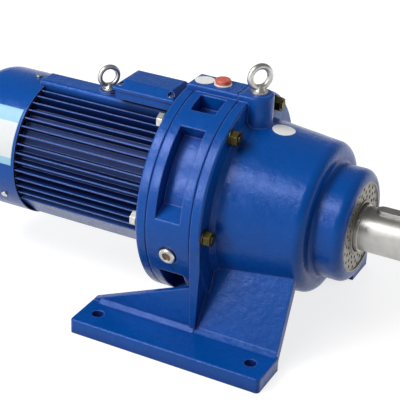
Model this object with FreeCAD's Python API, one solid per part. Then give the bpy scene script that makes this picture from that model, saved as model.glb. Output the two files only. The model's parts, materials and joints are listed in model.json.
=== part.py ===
"""Foot-mounted cycloidal gearmotor: finned motor, pin-gear housing, base housing and keyed output shaft.

Millimetres. +X runs along the shaft towards the output end and +Z is up. The origin lies on the floor,
in the middle of the foot bolt pattern. The shaft axis is the line y = 0, z = shaft_height.
Angles round the shaft are in degrees from +Y towards +Z.
"""
import FreeCAD
import Part
import math
import os

Vec = FreeCAD.Vector

# Fits
fit = 0.05               # radial clearance of a seat or a running fit
face_gap = 0.3           # axial clearance between pieces that turn past each other
mesh_gap = 0.25          # clearance between the cycloid lobes and the ring sleeves
bite = 1.0               # how far shapes of one casting run into each other
past = 5.0               # how far a cutter runs past the face that it opens

# Base and feet
shaft_height = 220.0
foot_length = 375.0
foot_span = 515.0
foot_width = 80.0
foot_thickness = 28.0
foot_corner = 7.0
foot_edge = 3.5
foot_cove = 7.0
foot_bolts_x = 305.0
foot_bolts_y = 435.0
foot_hole = 11.0
rib_foot_inset = 14.0
rib_toe = 9.0
rib_toe_top = 160.0
rib_low_y = 90.0
rib_high_y = 60.0
web_thickness = 16.0
web_top_y = 122.0
web_top_z = 152.0
web_end_inset = 4.0
gusset_thickness = 12.0
gusset_height = 115.0
gusset_toe = 31.0
gusset_inset = 4.0
gusset_lap = 2.0

# The three bolted rings, along the shaft
ring_radius = 196.0
ring_edge = 3.0
joint_edge = 2.0
base_flange_x = 34.5
base_flange_thickness = 20.0
pin_housing_length = 86.0
motor_flange_thickness = 20.0
base_joint_x = base_flange_x - base_flange_thickness
motor_joint_x = base_joint_x - pin_housing_length
motor_flange_x = motor_joint_x - motor_flange_thickness

# Tie bolts through the three rings
tie_circle = 177.0
tie_count = 6
tie_radius = 8.0
tie_hole = 8.5
tie_head_flats = 24.0
tie_head_height = 12.0
tie_nut_height = 13.0
tie_end = 2.5
washer_radius = 15.0
washer_thickness = 2.5

# Barrel of the base housing
barrel_root = 152.0
barrel_tip = 138.0
barrel_end_x = 176.0
shoulder_radius = 20.0
neck_radius = 102.0
neck_end_x = 252.8
neck_edge = 18.0
neck_cove = 7.0
root_fillet = 8.0

# Top pad and lifting eyes
pad_half_width = 27.0
pad_height = 206.0
pad_edge = 4.0
boss_radius = 27.0
eye_x = 42.0
eye_turn = 37.0
eye_size = 25.2
eye_hole = 14.0
eye_rise = 29.2
eye_neck = 15.0
eye_shank_depth = 1.3
eye_bore_depth = 1.5
eye_collar = 0.8
eye_stem = 0.75
motor_eye_box_gap = 33.0
motor_eye_size = 22.4
motor_eye_hole = 13.2
motor_eye_rise = 26.0
motor_eye_neck = 13.0

# Pockets cast round the pin-gear housing, as angle spans from the near side upwards
pocket_floor = 168.0
pocket_rim = 19.0
pocket_sill = 7.0
main_pocket_span = (6.0, 56.0)
pocket_spans = ((67.0, 80.0), (-54.0, -27.0), (-80.0, -66.0))
sight_angle = -14.0
sight_hole = 12.0
sight_rim = 15.5
sight_spot_radius = 18.0
sight_height = 8.0
sight_edge = 2.0
sight_window = 8.5
sight_spot = 3.0
sight_recess = 2.5
drain_hole = 9.0
drain_flats = 22.0
drain_head = 9.0
drain_seat = 172.0

# Cycloid stage: ring pins in the housing, two lobed discs half a turn apart
ring_pin_count = 12
ring_pin_circle = 135.0
ring_pin_radius = 9.0
ring_sleeve_radius = 13.0
eccentricity = 6.0
lip_radius = 131.0
lip_length = 13.5
groove_gap = 1.5
disc_thickness = 22.0
disc_spacing = 8.0
disc_bore = 48.3
lobe_point_count = 14
output_pin_count = 8
output_pin_circle = 82.0
output_pin_radius = 9.0
output_sleeve_radius = 13.0
hole_gap = 0.3
eccentric_radius = 34.0
eccentric_roller = 7.0
eccentric_roller_count = 10
eccentric_key_width = 10.0
eccentric_key_height = 8.0
eccentric_key_depth = 5.0

# Output shaft, its bearings and the front seal
shaft_radius = 40.0
shaft_end_x = 368.0
shaft_chamfer = 2.5
carrier_x = 4.0
carrier_thickness = 26.0
carrier_radius = 108.0
carrier_pocket = 124.0
carrier_gap = 4.0
carrier_bore = 31.0
carrier_collar = 56.5
pin_seat_end = 2.0
key_width = 22.0
key_height = 14.0
key_depth = 9.0
key_start_x = 278.0
key_end_x = 362.0
rear_journal = 47.5
spacer_journal = 45.0
rear_bearing_outer = 85.0
rear_bearing_x = 38.0
rear_bearing_width = 32.0
front_journal = 42.5
front_bearing_outer = 75.0
front_bearing_x = 196.0
front_bearing_width = 28.0
race_thickness = 8.0
roller_inset = 2.0
front_shoulder = 70.0
front_shoulder_width = 8.0
bearing_roller_count = 12
spacer_wall = 9.0
cover_radius = 82.0
cover_bore = 44.5
cover_plate = 7.0
cover_rim = 78.5
cover_collar = 49.5
cover_step = 2.0
cover_hole = 3.3
cover_rows = (55.0, 64.0, 73.0)
cover_row_count = 20
cover_row_depth = 3.0
seal_radius = 58.0
seal_journal_reach = 6.0
seal_width = 12.0

# Motor frame and shell
frame_length = 307.0
frame_bore = 105.0
frame_wall = 113.0
fin_tip = 131.0
fin_pitch = 7.5
fin_thickness = 3.8
fin_end_gap = 14.0
strip_half_width = 24.0
strip_height = 141.0
side_pad_span = (-60.0, -30.0)
side_pad_radius = 127.0
frame_collar = 8.0
frame_collar_radius = 126.0
fin_taper = 0.6
strip_edge = 7.0
motor_eye_seat = 18.0
motor_eye_pad = 4.0
cowl_length = 146.0
cowl_radius = 134.0
cowl_wall = 2.0
cowl_overlap = 10.0
cowl_corner = 48.0
cowl_slot = 9.0
cowl_bar = 8.0
cowl_rows = (18.0, 36.0, 54.0, 72.0)
cowl_spoke_count = 6
cowl_screw_count = 3
cowl_screw_angle = 88.0
cowl_screw_radius = 3.0
cowl_screw_setback = 22.0
cowl_screw_head = 3.5
cowl_screw_reach = 12.0

# Motor internals
motor_shaft_radius = 19.0
motor_journal = 20.0
core_shaft_radius = 24.0
fan_shaft_radius = 17.0
motor_bearing_outer = 45.0
motor_bearing_width = 23.0
motor_race = 7.0
motor_roller_count = 10
hub_wall = 10.0
hub_bore = 30.0
hub_shoulder = 28.5
hub_lip = 4.0
spigot_wall = 9.0
spigot_length = 6.0
bearing_setback = 3.5
stator_length = 155.0
stator_bore = 68.0
air_gap = 0.6
winding_length = 32.0
winding_inner = 72.0
winding_outer = 99.0
end_ring_length = 12.0
end_ring_inner = 46.0
end_ring_outer = 64.0
shield_thickness = 8.0
shield_radius = 119.0
shield_screw = 3.0
shield_screw_count = 4
shield_screw_flats = 10.0
shield_screw_head = 5.0
shield_screw_reach = 15.0
shield_screw_turn = 45.0
shield_bore_gap = 3.0
cowl_lug_half = 9.0
cowl_lug_length = 8.0
fan_radius = 104.0
fan_hub = 28.0
fan_blade_count = 8
fan_width = 34.0
fan_plate = 5.0
fan_plate_radius = 64.0
fan_blade_thickness = 4.0
fan_gap = 12.0
input_seal_radius = 31.0
input_seal_width = 10.0
input_seal_setback = 4.0

# Terminal box
box_flange_gap = 10.5
box_length = 121.0
box_half_width = 42.0
box_stand = 10.0
box_stand_half = 17.0
box_height = 26.0
box_wall = 5.0
box_edge = 5.0
lid_height = 17.0
lid_end_slope = 14.0
lid_side_slope = 19.0
lid_lap = 3.0
lid_rim = 5.0
lid_edge = 2.5
lid_wall = 4.0
lid_top_wall = 5.0
lid_screw_radius = 3.0
lid_screw_inset = 9.0
lid_screw_post = 8.0
lid_screw_head = 4.0
lid_screw_reach = 12.0
board_height = 8.0
board_half_length = 34.0
board_half_width = 20.0
stud_pitch_x = 22.0
stud_row_y = 10.0
stud_radius = 3.0
stud_height = 9.0
gland_height = 7.0
gland_radius = 6.0
gland_flats = 15.0
gland_length = 24.0
gland_wall = 2.0
gland_shank = 6.0

# Positions that follow from the driving sizes
near_side = 180.0
gear_mid_x = (motor_joint_x + base_joint_x) / 2
disc_a_x = gear_mid_x - disc_spacing / 2 - disc_thickness
disc_b_x = gear_mid_x + disc_spacing / 2
groove_x = (motor_joint_x + lip_length, base_joint_x - lip_length)
groove_radius = ring_pin_circle + ring_sleeve_radius + groove_gap
rear_bearing_end = rear_bearing_x + rear_bearing_width
front_bearing_end = front_bearing_x + front_bearing_width
cover_x = neck_end_x - cover_plate
seal_x = cover_x - seal_width
seal_journal_end = neck_end_x + seal_journal_reach
frame_x = motor_flange_x - frame_length
stator_mid_x = frame_x + frame_length / 2
stator_x = stator_mid_x - stator_length / 2
stator_end = stator_mid_x + stator_length / 2
drive_bearing_x = motor_flange_x - motor_bearing_width - bearing_setback
fan_bearing_x = frame_x + bearing_setback + bite
shield_x = frame_x - shield_thickness
cowl_end_x = frame_x + cowl_overlap
cowl_x = cowl_end_x - cowl_length
cowl_screw_x = frame_x - cowl_screw_setback
fan_x = shield_x - fan_width - fan_gap
box_x = motor_flange_x - box_flange_gap - lid_lap - box_length
motor_eye_x = box_x - lid_lap - motor_eye_box_gap
strip_z = shaft_height + strip_height
pad_z = shaft_height + pad_height
box_z = strip_z + box_stand
lid_z = strip_z + box_height
motor_eye_z = strip_z + motor_eye_pad
shield_screw_z = shaft_height + (frame_bore + frame_wall) / 2
input_seal_end = motor_joint_x - input_seal_setback
sight_base = shaft_height + ring_radius - sight_spot
drain_z = shaft_height - drain_seat
eccentric_key_z = shaft_height + motor_shaft_radius - eccentric_key_depth
output_pin_end = carrier_x + carrier_thickness - pin_seat_end


def polar(radius, angle, x=0.0):
    """Point at a radius and angle round the shaft axis."""
    a = math.radians(angle)
    return Vec(x, radius * math.cos(a), shaft_height + radius * math.sin(a))


def rod(x0, x1, radius, y=0.0, z=shaft_height):
    """Cylinder along X."""
    return Part.makeCylinder(radius, x1 - x0, Vec(x0, y, z), Vec(1, 0, 0))


def tube(x0, x1, inner, outer, y=0.0, z=shaft_height):
    """Hollow cylinder along X."""
    return rod(x0, x1, outer, y, z).cut(rod(x0, x1, inner, y, z))


def block(x0, x1, y0, y1, z0, z1):
    """Box between two corners."""
    return Part.makeBox(x1 - x0, y1 - y0, z1 - z0, Vec(x0, y0, z0))


def hex_rod(x0, x1, flats, y=0.0, z=shaft_height):
    """Hexagonal bar along X."""
    reach = flats / math.sqrt(3)
    points = []
    for i in range(7):
        a = math.radians(60 * i)
        points.append(Vec(x0, y + reach * math.cos(a), z + reach * math.sin(a)))
    return Part.Face(Part.makePolygon(points)).extrude(Vec(x1 - x0, 0, 0))


def hex_upright(z0, z1, flats, x):
    """Hexagonal bar along Z, above or below the shaft axis."""
    bar = hex_rod(0, z1 - z0, flats, 0, 0)
    bar.rotate(Vec(0, 0, 0), Vec(0, 1, 0), -90)
    bar.translate(Vec(x, 0, z0))
    return bar


def turned(profile):
    """Solid of revolution from a closed outline of (x, radius) points."""
    points = [Vec(x, 0, shaft_height + r) for x, r in profile]
    face = Part.Face(Part.makePolygon(points + points[:1]))
    return face.revolve(Vec(0, 0, shaft_height), Vec(1, 0, 0), 360)


def turned_path(edges):
    """Solid of revolution from joined edges drawn above the shaft axis."""
    face = Part.Face(Part.Wire(edges))
    return face.revolve(Vec(0, 0, shaft_height), Vec(1, 0, 0), 360)


def spun(shape, angle):
    """Copy turned about the shaft axis."""
    turned_copy = shape.copy()
    turned_copy.rotate(Vec(0, 0, shaft_height), Vec(1, 0, 0), angle)
    return turned_copy


def ring_of(shape, count, start=0.0):
    """Copies of a shape spaced evenly round the shaft axis."""
    return [spun(shape, start + 360.0 * i / count) for i in range(count)]


def radial(shape, angle):
    """Turn a shape modelled pointing along +Z above the axis to an angle."""
    return spun(shape, angle - 90.0)


def upright(radius, z0, z1, x, y=0.0):
    """Cylinder along Z."""
    return Part.makeCylinder(radius, z1 - z0, Vec(x, y, z0), Vec(0, 0, 1))


def plate(points, x0, x1):
    """Plate across the shaft from an outline of (y, z) points."""
    outline = [Vec(x0, y, z) for y, z in points]
    return Part.Face(Part.makePolygon(outline + outline[:1])).extrude(Vec(x1 - x0, 0, 0))


def joined(shapes):
    """One solid from touching shapes."""
    return shapes[0].multiFuse(shapes[1:]).removeSplitter()


def mirrored(shape):
    """The far-side copy of a near-side shape."""
    return shape.mirror(Vec(0, 0, 0), Vec(0, 1, 0))


def tie_positions():
    """Angles of the tie bolts, the first on the near side."""
    return [near_side + 360.0 * i / tie_count for i in range(tie_count)]


def tie_holes(x0, x1):
    """Bores for the tie bolts."""
    hole = rod(x0, x1, tie_hole, 0, shaft_height + tie_circle)
    return [radial(hole, angle) for angle in tie_positions()]


def edges_where(shape, test):
    """Edges whose middle point passes a test."""
    chosen = []
    for edge in shape.Edges:
        middle = edge.valueAt((edge.FirstParameter + edge.LastParameter) / 2)
        if test(edge, middle):
            chosen.append(edge)
    return chosen


def foot_pad():
    """Near foot with rounded corners, a soft top edge and two bolt holes."""
    outer = foot_span / 2
    pad = block(-foot_length / 2, foot_length / 2, -outer, foot_width - outer, 0, foot_thickness)
    corners = edges_where(pad, lambda e, m: abs(m.z - foot_thickness / 2) < 1e-6 and m.y < -outer + 1e-6)
    pad = pad.makeFillet(foot_corner, corners)
    top = edges_where(pad, lambda e, m: abs(m.z - foot_thickness) < 1e-6 and m.y < foot_width - outer - 1e-6)
    pad = pad.makeFillet(foot_edge, top)
    for x in (-foot_bolts_x / 2, foot_bolts_x / 2):
        pad = pad.cut(upright(foot_hole, -past, foot_thickness + past, x, -foot_bolts_y / 2))
    return pad


def foot_ribs():
    """Near-side rib under the flange, gusset on the motor side and sloping web on the output side."""
    inner = foot_width - foot_span / 2
    face_y = inner - gusset_lap
    low = foot_thickness / 2
    chord = math.sqrt(ring_radius ** 2 - rib_low_y ** 2)
    rib = plate([(bite - ring_radius, shaft_height),
                 (face_y, low), (inner + rib_foot_inset, low),
                 (-rib_low_y, shaft_height - chord), (-rib_high_y, shaft_height)], base_joint_x, base_flange_x)
    toe_x = base_joint_x + rib_toe
    taper = [Vec(x, -ring_radius - past, z) for x, z in ((base_flange_x, rib_toe_top), (toe_x, low),
             (base_flange_x + past, low), (base_flange_x + past, rib_toe_top))]
    rib = rib.cut(Part.Face(Part.makePolygon(taper + taper[:1])).extrude(Vec(0, ring_radius, 0)))
    gusset_start = gusset_inset - foot_length / 2
    gusset_end = base_joint_x + bite
    outline = [Vec(x, face_y, z) for x, z in ((gusset_start, low), (gusset_end, low),
               (gusset_end, gusset_height), (gusset_start, gusset_toe))]
    gusset = Part.Face(Part.makePolygon(outline + outline[:1])).extrude(Vec(0, gusset_thickness, 0))
    run = Vec(0, -web_top_y - inner, web_top_z - foot_thickness).normalize()
    across = Vec(0, run.z, -run.y) * web_thickness
    start = Vec(0, inner, foot_thickness) - run * web_thickness
    reach = Vec(0, -web_top_y, web_top_z) + run * web_thickness
    web_end = foot_length / 2 - web_end_inset
    web = plate([(p.y, p.z) for p in (start, reach, reach + across, start + across)],
                base_joint_x + bite, web_end)
    coves = [cove(face_y, Vec(0, 0, 1), gusset_start + 2 * foot_cove, toe_x),
             cove(inner, run, toe_x - bite, web_end)]
    return [rib, gusset, web] + coves


def cove(y, run, x0, x1):
    """Sloped bead where a wall that climbs along a direction stands on the foot."""
    top = foot_thickness
    return plate([(y - foot_cove, top), (y + run.y * foot_cove, top + run.z * foot_cove),
                  (y + bite, top - bite)], x0, x1)


def base_body():
    """Outside of the base housing turned about the shaft: flange, tapered barrel, shoulder and neck."""
    top = shaft_height
    shoulder_mid = Vec(barrel_end_x, 0, top + barrel_tip - shoulder_radius)
    shoulder_end = shoulder_mid + Vec(shoulder_radius, 0, 0)
    cosine = math.cos(math.radians(45))
    shoulder_point = shoulder_mid + Vec(cosine, 0, cosine) * shoulder_radius
    neck_mid = Vec(neck_end_x - neck_edge, 0, top + neck_radius - neck_edge)
    neck_point = neck_mid + Vec(cosine, 0, cosine) * neck_edge
    path = [Vec(base_joint_x, 0, top),
            Vec(base_joint_x, 0, top + ring_radius - joint_edge),
            Vec(base_joint_x + joint_edge, 0, top + ring_radius),
            Vec(base_flange_x - ring_edge, 0, top + ring_radius),
            Vec(base_flange_x, 0, top + ring_radius - ring_edge),
            Vec(base_flange_x, 0, top + barrel_root + root_fillet),
            Vec(base_flange_x + root_fillet, 0, top + barrel_root),
            Vec(barrel_end_x, 0, top + barrel_tip)]
    edges = [Part.makeLine(a, b) for a, b in zip(path, path[1:])]
    edges.append(Part.Arc(path[-1], shoulder_point, shoulder_end).toShape())
    cove_mid = Vec(shoulder_end.x + neck_cove, 0, top + neck_radius + neck_cove)
    cove_top = cove_mid - Vec(neck_cove, 0, 0)
    neck_start = cove_mid - Vec(0, 0, neck_cove)
    edges.append(Part.makeLine(shoulder_end, cove_top))
    edges.append(Part.Arc(cove_top, cove_mid - Vec(cosine, 0, cosine) * neck_cove, neck_start).toShape())
    edges.append(Part.makeLine(neck_start, Vec(neck_mid.x, 0, top + neck_radius)))
    face_top = Vec(neck_end_x, 0, neck_mid.z)
    edges.append(Part.Arc(Vec(neck_mid.x, 0, top + neck_radius), neck_point, face_top).toShape())
    edges.append(Part.makeLine(face_top, Vec(neck_end_x, 0, top)))
    edges.append(Part.makeLine(Vec(neck_end_x, 0, top), path[0]))
    return turned_path(edges)


def eyebolt_boss():
    """Round-fronted boss over the base flange that carries the lifting eye."""
    low = shaft_height + barrel_tip - past
    boss = joined([block(base_joint_x, eye_x, -boss_radius, boss_radius, low, pad_z),
                   upright(boss_radius, low, pad_z, eye_x)])
    rim = edges_where(boss, lambda e, m: abs(m.z - pad_z) < 1e-6 and m.x > base_joint_x + 1e-6)
    return boss.makeFillet(pad_edge, rim)


def base_cavity():
    """Inside of the base housing: carrier room, two bearing seats and the cover's recess."""
    room = rear_bearing_outer - race_thickness
    room_end = front_bearing_x - front_shoulder_width
    wall_x = carrier_x + carrier_thickness + carrier_gap
    return turned([(base_joint_x, 0), (base_joint_x, carrier_pocket), (wall_x, carrier_pocket),
                   (wall_x, rear_bearing_outer + fit), (rear_bearing_end, rear_bearing_outer + fit),
                   (rear_bearing_end, room), (room_end, room), (room_end, front_shoulder),
                   (front_bearing_x, front_shoulder), (front_bearing_x, front_bearing_outer + fit),
                   (cover_x, front_bearing_outer + fit), (cover_x, cover_radius + fit),
                   (neck_end_x, cover_radius + fit), (neck_end_x, 0)])


def base_housing():
    """Cast base with both feet."""
    near = [foot_pad()] + foot_ribs()
    far = [mirrored(shape) for shape in near]
    body = joined([base_body(), eyebolt_boss()] + near + far)
    cuts = [base_cavity()] + tie_holes(base_joint_x - past, base_flange_x + past)
    cuts.append(upright(eye_neck / 2 + fit, pad_z - eye_neck * eye_bore_depth, pad_z + past, eye_x))
    return body.cut(cuts)


def pocket(span, sill=0.0):
    """Cutter for one cast pocket of the pin-gear housing; a sill slopes its lower wall by an angle."""
    x0 = motor_joint_x + pocket_rim
    x1 = base_joint_x - pocket_rim
    low = near_side - span[1]
    outer = ring_radius + past
    width = span[1] - span[0]
    inside = polar(pocket_floor, low + width - sill, x0)
    outside = polar(ring_radius, low + width, x0)
    wedge = [Vec(x0, 0, shaft_height), polar(outer * 2, low, x0), polar(outer * 2, low + width / 2, x0),
             inside + (outside - inside) * past, inside]
    sector = Part.Face(Part.makePolygon(wedge + wedge[:1])).extrude(Vec(x1 - x0, 0, 0))
    return tube(x0, x1, pocket_floor, outer).common(sector)


def pin_gear_housing():
    """Ring with pin seats in two inner lips, cast pockets outside and the flat top pad."""
    chamfer = ring_radius - joint_edge
    ring = turned([(motor_joint_x, lip_radius), (motor_joint_x, chamfer), (motor_joint_x + joint_edge, ring_radius),
                   (base_joint_x - joint_edge, ring_radius), (base_joint_x, chamfer), (base_joint_x, lip_radius)])
    top = block(motor_joint_x, base_joint_x, -pad_half_width, pad_half_width,
                shaft_height + pocket_floor, pad_z)
    sides = edges_where(top, lambda e, m: abs(m.z - pad_z) < 1e-6)
    top = top.makeFillet(pad_edge, sides)
    ring = joined([ring, top])
    cuts = [tube(groove_x[0], groove_x[1], lip_radius - past, groove_radius)]
    seat = rod(motor_joint_x, base_joint_x, ring_pin_radius + fit, ring_pin_circle)
    cuts += ring_of(seat, ring_pin_count)
    near = [pocket(main_pocket_span, pocket_sill)] + [pocket(span) for span in pocket_spans]
    cuts += near + [mirrored(cutter) for cutter in near]
    cuts += tie_holes(motor_joint_x - past, base_joint_x + past)
    outside = shaft_height + ring_radius + past
    sight = upright(sight_hole + fit, shaft_height + lip_radius - past, outside, gear_mid_x)
    spot = upright(sight_spot_radius, sight_base, outside, gear_mid_x)
    cuts += [radial(sight, near_side - sight_angle), radial(spot, near_side - sight_angle)]
    below = shaft_height - ring_radius - past
    cuts.append(upright(drain_hole + fit, below, shaft_height - lip_radius, gear_mid_x))
    cuts.append(block(motor_joint_x + pocket_rim, base_joint_x - pocket_rim, -drain_flats, drain_flats,
                      below, drain_z))
    return ring.cut(cuts)


def ring_pins():
    """Fixed pins that stand in the housing's seats."""
    pin = rod(motor_joint_x + face_gap, base_joint_x - face_gap, ring_pin_radius, ring_pin_circle)
    return ring_of(pin, ring_pin_count)


def ring_pin_sleeves():
    """Hardened sleeves on the ring pins, between the lips."""
    sleeve = tube(groove_x[0] + face_gap, groove_x[1] - face_gap, ring_pin_radius + fit, ring_sleeve_radius,
                  ring_pin_circle)
    return ring_of(sleeve, ring_pin_count)


def lobe_point(t):
    """Cycloid profile about the disc's own centre: the envelope of the ring sleeves."""
    n = ring_pin_count
    reach = ring_sleeve_radius + mesh_gap
    psi = math.atan2(math.sin((1 - n) * t), ring_pin_circle / (eccentricity * n) - math.cos((1 - n) * t))
    y = ring_pin_circle * math.cos(t) - reach * math.cos(t + psi) - eccentricity * math.cos(n * t)
    z = -ring_pin_circle * math.sin(t) + reach * math.sin(t + psi) + eccentricity * math.sin(n * t)
    return y, z


def cycloid_disc(x0, side):
    """Lobed disc whose centre stands off the shaft axis by the eccentricity, on the given side."""
    count = (ring_pin_count - 1) * lobe_point_count
    points = []
    for i in range(count):
        y, z = lobe_point(2 * math.pi * i / count)
        points.append(Vec(x0, side * (y + eccentricity), shaft_height + side * z))
    outline = Part.BSplineCurve()
    outline.interpolate(Points=points, PeriodicFlag=True)
    disc = Part.Face(Part.Wire(outline.toShape())).extrude(Vec(disc_thickness, 0, 0))
    x1 = x0 + disc_thickness
    centre_y = side * eccentricity
    window = output_sleeve_radius + eccentricity + hole_gap
    cuts = [rod(x0, x1, disc_bore, centre_y)]
    for i in range(output_pin_count):
        p = polar(output_pin_circle, 360.0 * (i + 0.5) / output_pin_count)
        cuts.append(rod(x0, x1, window, p.y + centre_y, p.z))
    return disc.cut(cuts)


def output_pins():
    """Pins pressed into the carrier, reaching through both discs."""
    pin = rod(disc_a_x, output_pin_end, output_pin_radius, output_pin_circle)
    return ring_of(pin, output_pin_count, 180.0 / output_pin_count)


def output_pin_sleeves():
    """Sleeves that roll in the discs' holes."""
    sleeve = tube(disc_a_x, carrier_x - face_gap, output_pin_radius + fit, output_sleeve_radius,
                  output_pin_circle)
    return ring_of(sleeve, output_pin_count, 180.0 / output_pin_count)


def disc_spacer():
    """Ring that keeps the two discs apart, centred by the output sleeves."""
    outer = output_pin_circle - output_sleeve_radius - face_gap
    return tube(disc_a_x + disc_thickness + face_gap, disc_b_x - face_gap,
                disc_bore + eccentricity + bite, outer)


def eccentric_sleeve():
    """Double eccentric keyed on the motor shaft, with a rib between its two tracks."""
    a0 = disc_a_x
    a1 = disc_a_x + disc_thickness
    b1 = disc_b_x + disc_thickness
    first = rod(a0, a1, eccentric_radius, eccentricity)
    second = rod(disc_b_x, b1, eccentric_radius, -eccentricity)
    rib = rod(a1, disc_b_x, eccentric_radius)
    sleeve = joined([first, rib, second])
    half = eccentric_key_width / 2 + fit
    slot = block(a0, b1, -half, half, shaft_height, eccentric_key_z + eccentric_key_height + face_gap)
    return sleeve.cut([rod(a0, b1, motor_shaft_radius + fit), slot])


def eccentric_key():
    """Key between the motor shaft and the eccentric sleeve."""
    half = eccentric_key_width / 2
    return block(disc_a_x, disc_b_x + disc_thickness, -half, half,
                 eccentric_key_z, eccentric_key_z + eccentric_key_height)


def eccentric_rollers(x0, side):
    """Rollers between one eccentric track and its disc."""
    centre = side * eccentricity
    circle = eccentric_radius + eccentric_roller + fit
    rollers = []
    for i in range(eccentric_roller_count):
        p = polar(circle, 360.0 * i / eccentric_roller_count)
        rollers.append(rod(x0 + roller_inset, x0 + disc_thickness - roller_inset, eccentric_roller,
                           p.y + centre, p.z))
    return rollers


def output_shaft():
    """Shaft and pin carrier in one forging, with the keyway cut in the free end."""
    carrier_end = carrier_x + carrier_thickness
    end = shaft_end_x
    shaft = turned([(carrier_x, 0), (carrier_x, carrier_radius), (carrier_end, carrier_radius),
                    (carrier_end, carrier_collar), (rear_bearing_x, carrier_collar),
                    (rear_bearing_x, rear_journal), (rear_bearing_end, rear_journal),
                    (rear_bearing_end, spacer_journal), (front_bearing_x, spacer_journal),
                    (front_bearing_x, front_journal),
                    (seal_journal_end, front_journal), (seal_journal_end, shaft_radius),
                    (end - shaft_chamfer, shaft_radius), (end, shaft_radius - shaft_chamfer), (end, 0)])
    bore = rod(carrier_x, output_pin_end, carrier_bore)
    seat = rod(carrier_x, output_pin_end + fit, output_pin_radius + fit, output_pin_circle)
    seats = ring_of(seat, output_pin_count, 180.0 / output_pin_count)
    return shaft.cut([bore, key_shape(fit)] + seats)


def key_shape(gap):
    """Round-ended key, grown by a gap for its keyway."""
    half = key_width / 2 + gap
    low = shaft_height + shaft_radius - key_depth
    high = low + key_height
    bar = block(key_start_x + key_width / 2, key_end_x - key_width / 2, -half, half, low, high)
    ends = [upright(half, low, high, x) for x in (key_start_x + key_width / 2, key_end_x - key_width / 2)]
    return joined([bar] + ends)


def roller_bearing(x0, width, inner, outer, race, count):
    """Outer race, rollers and inner race of one bearing."""
    x1 = x0 + width
    gap = outer - inner - 2 * race
    roller_radius = gap / 2 - fit
    rollers = ring_of(rod(x0 + roller_inset, x1 - roller_inset, roller_radius, inner + race + gap / 2), count)
    return tube(x0, x1, outer - race, outer), rollers, tube(x0, x1, inner + fit, inner + race)


def bearing_spacer():
    """Sleeve on the shaft between the two output bearings."""
    inner = spacer_journal + fit
    return tube(rear_bearing_end, front_bearing_x, inner, inner + spacer_wall)


def seal_cover():
    """Front cover: spigot in the bearing bore, plate in the neck's recess, rows of small blind holes."""
    cover = joined([tube(front_bearing_end, cover_x, seal_radius + fit, front_bearing_outer),
                    tube(cover_x, neck_end_x, cover_bore, cover_radius)])
    face_x = neck_end_x - cover_step
    cuts = [tube(face_x, neck_end_x + past, cover_collar, cover_rim)]
    for row, radius in enumerate(cover_rows):
        hole = rod(face_x - cover_row_depth, neck_end_x + past, cover_hole, radius)
        cuts += ring_of(hole, cover_row_count, 180.0 * row / cover_row_count)
    return cover.cut(cuts)


def oil_seal():
    """Lip seal between the cover and the output shaft."""
    return tube(seal_x, cover_x, front_journal + fit, seal_radius)


def tie_bolts():
    """Long hexagon bolts through the three rings, heads on the motor side."""
    z = shaft_height + tie_circle
    head_x = motor_flange_x - washer_thickness
    head = hex_rod(head_x - tie_head_height, head_x, tie_head_flats, 0, z)
    shank = rod(head_x - bite, base_flange_x + washer_thickness + tie_nut_height + tie_end, tie_radius, 0, z)
    bolt = joined([head, shank])
    return [radial(bolt, angle) for angle in tie_positions()]


def tie_bolt_nuts():
    """Nuts on the base side."""
    z = shaft_height + tie_circle
    x0 = base_flange_x + washer_thickness
    nut = hex_rod(x0, x0 + tie_nut_height, tie_head_flats, 0, z)
    nut = nut.cut(rod(x0, x0 + tie_nut_height, tie_radius + fit, 0, z))
    return [radial(nut, angle) for angle in tie_positions()]


def tie_bolt_washers():
    """Washers under the heads and the nuts."""
    z = shaft_height + tie_circle
    washers = []
    for x0 in (motor_flange_x - washer_thickness, base_flange_x):
        washer = tube(x0, x0 + washer_thickness, tie_radius + fit, washer_radius, 0, z)
        washers += [radial(washer, angle) for angle in tie_positions()]
    return washers


def eyebolt(x, seat_z, size, hole, rise, neck):
    """Lifting eye: ring turned a little from the shaft on a collar and a screwed shank."""
    bar = (size - hole) / 2
    turn = math.radians(eye_turn)
    eye = Part.makeTorus(hole + bar, bar, Vec(x, 0, seat_z + rise), Vec(math.cos(turn), -math.sin(turn), 0))
    collar_z = seat_z + bar * eye_collar
    collar = upright(neck, seat_z, collar_z, x)
    stem_height = seat_z + rise - hole - collar_z - bite
    stem = Part.makeCone(neck * eye_stem, bar, stem_height + bite, Vec(x, 0, collar_z - bite), Vec(0, 0, 1))
    shank = upright(neck / 2, seat_z - neck * eye_shank_depth, seat_z + bite, x)
    return joined([eye, collar, stem, shank])


def sight_glass_body():
    """Round oil sight glass body screwed into the near side of the pin-gear housing."""
    z0 = shaft_height + groove_radius + bite
    top = sight_base + sight_height
    shank = upright(sight_hole, z0, sight_base + bite, gear_mid_x)
    rim = upright(sight_rim, sight_base, top, gear_mid_x)
    rim = rim.makeChamfer(sight_edge, edges_where(rim, lambda e, m: abs(m.z - top) < 1e-6))
    body = joined([rim, shank])
    body = body.cut(upright(sight_window + fit, z0 - past, top + past, gear_mid_x))
    return radial(body, near_side - sight_angle)


def sight_glass_lens():
    """Glass disc in the sight glass."""
    lens = upright(sight_window, sight_base, sight_base + sight_height - sight_recess, gear_mid_x)
    return radial(lens, near_side - sight_angle)


def drain_plug():
    """Hexagon plug under the pin-gear housing."""
    head = hex_upright(drain_z - drain_head, drain_z, drain_flats, gear_mid_x)
    shank = upright(drain_hole, drain_z - bite, shaft_height - groove_radius - bite, gear_mid_x)
    return joined([head, shank])


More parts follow.
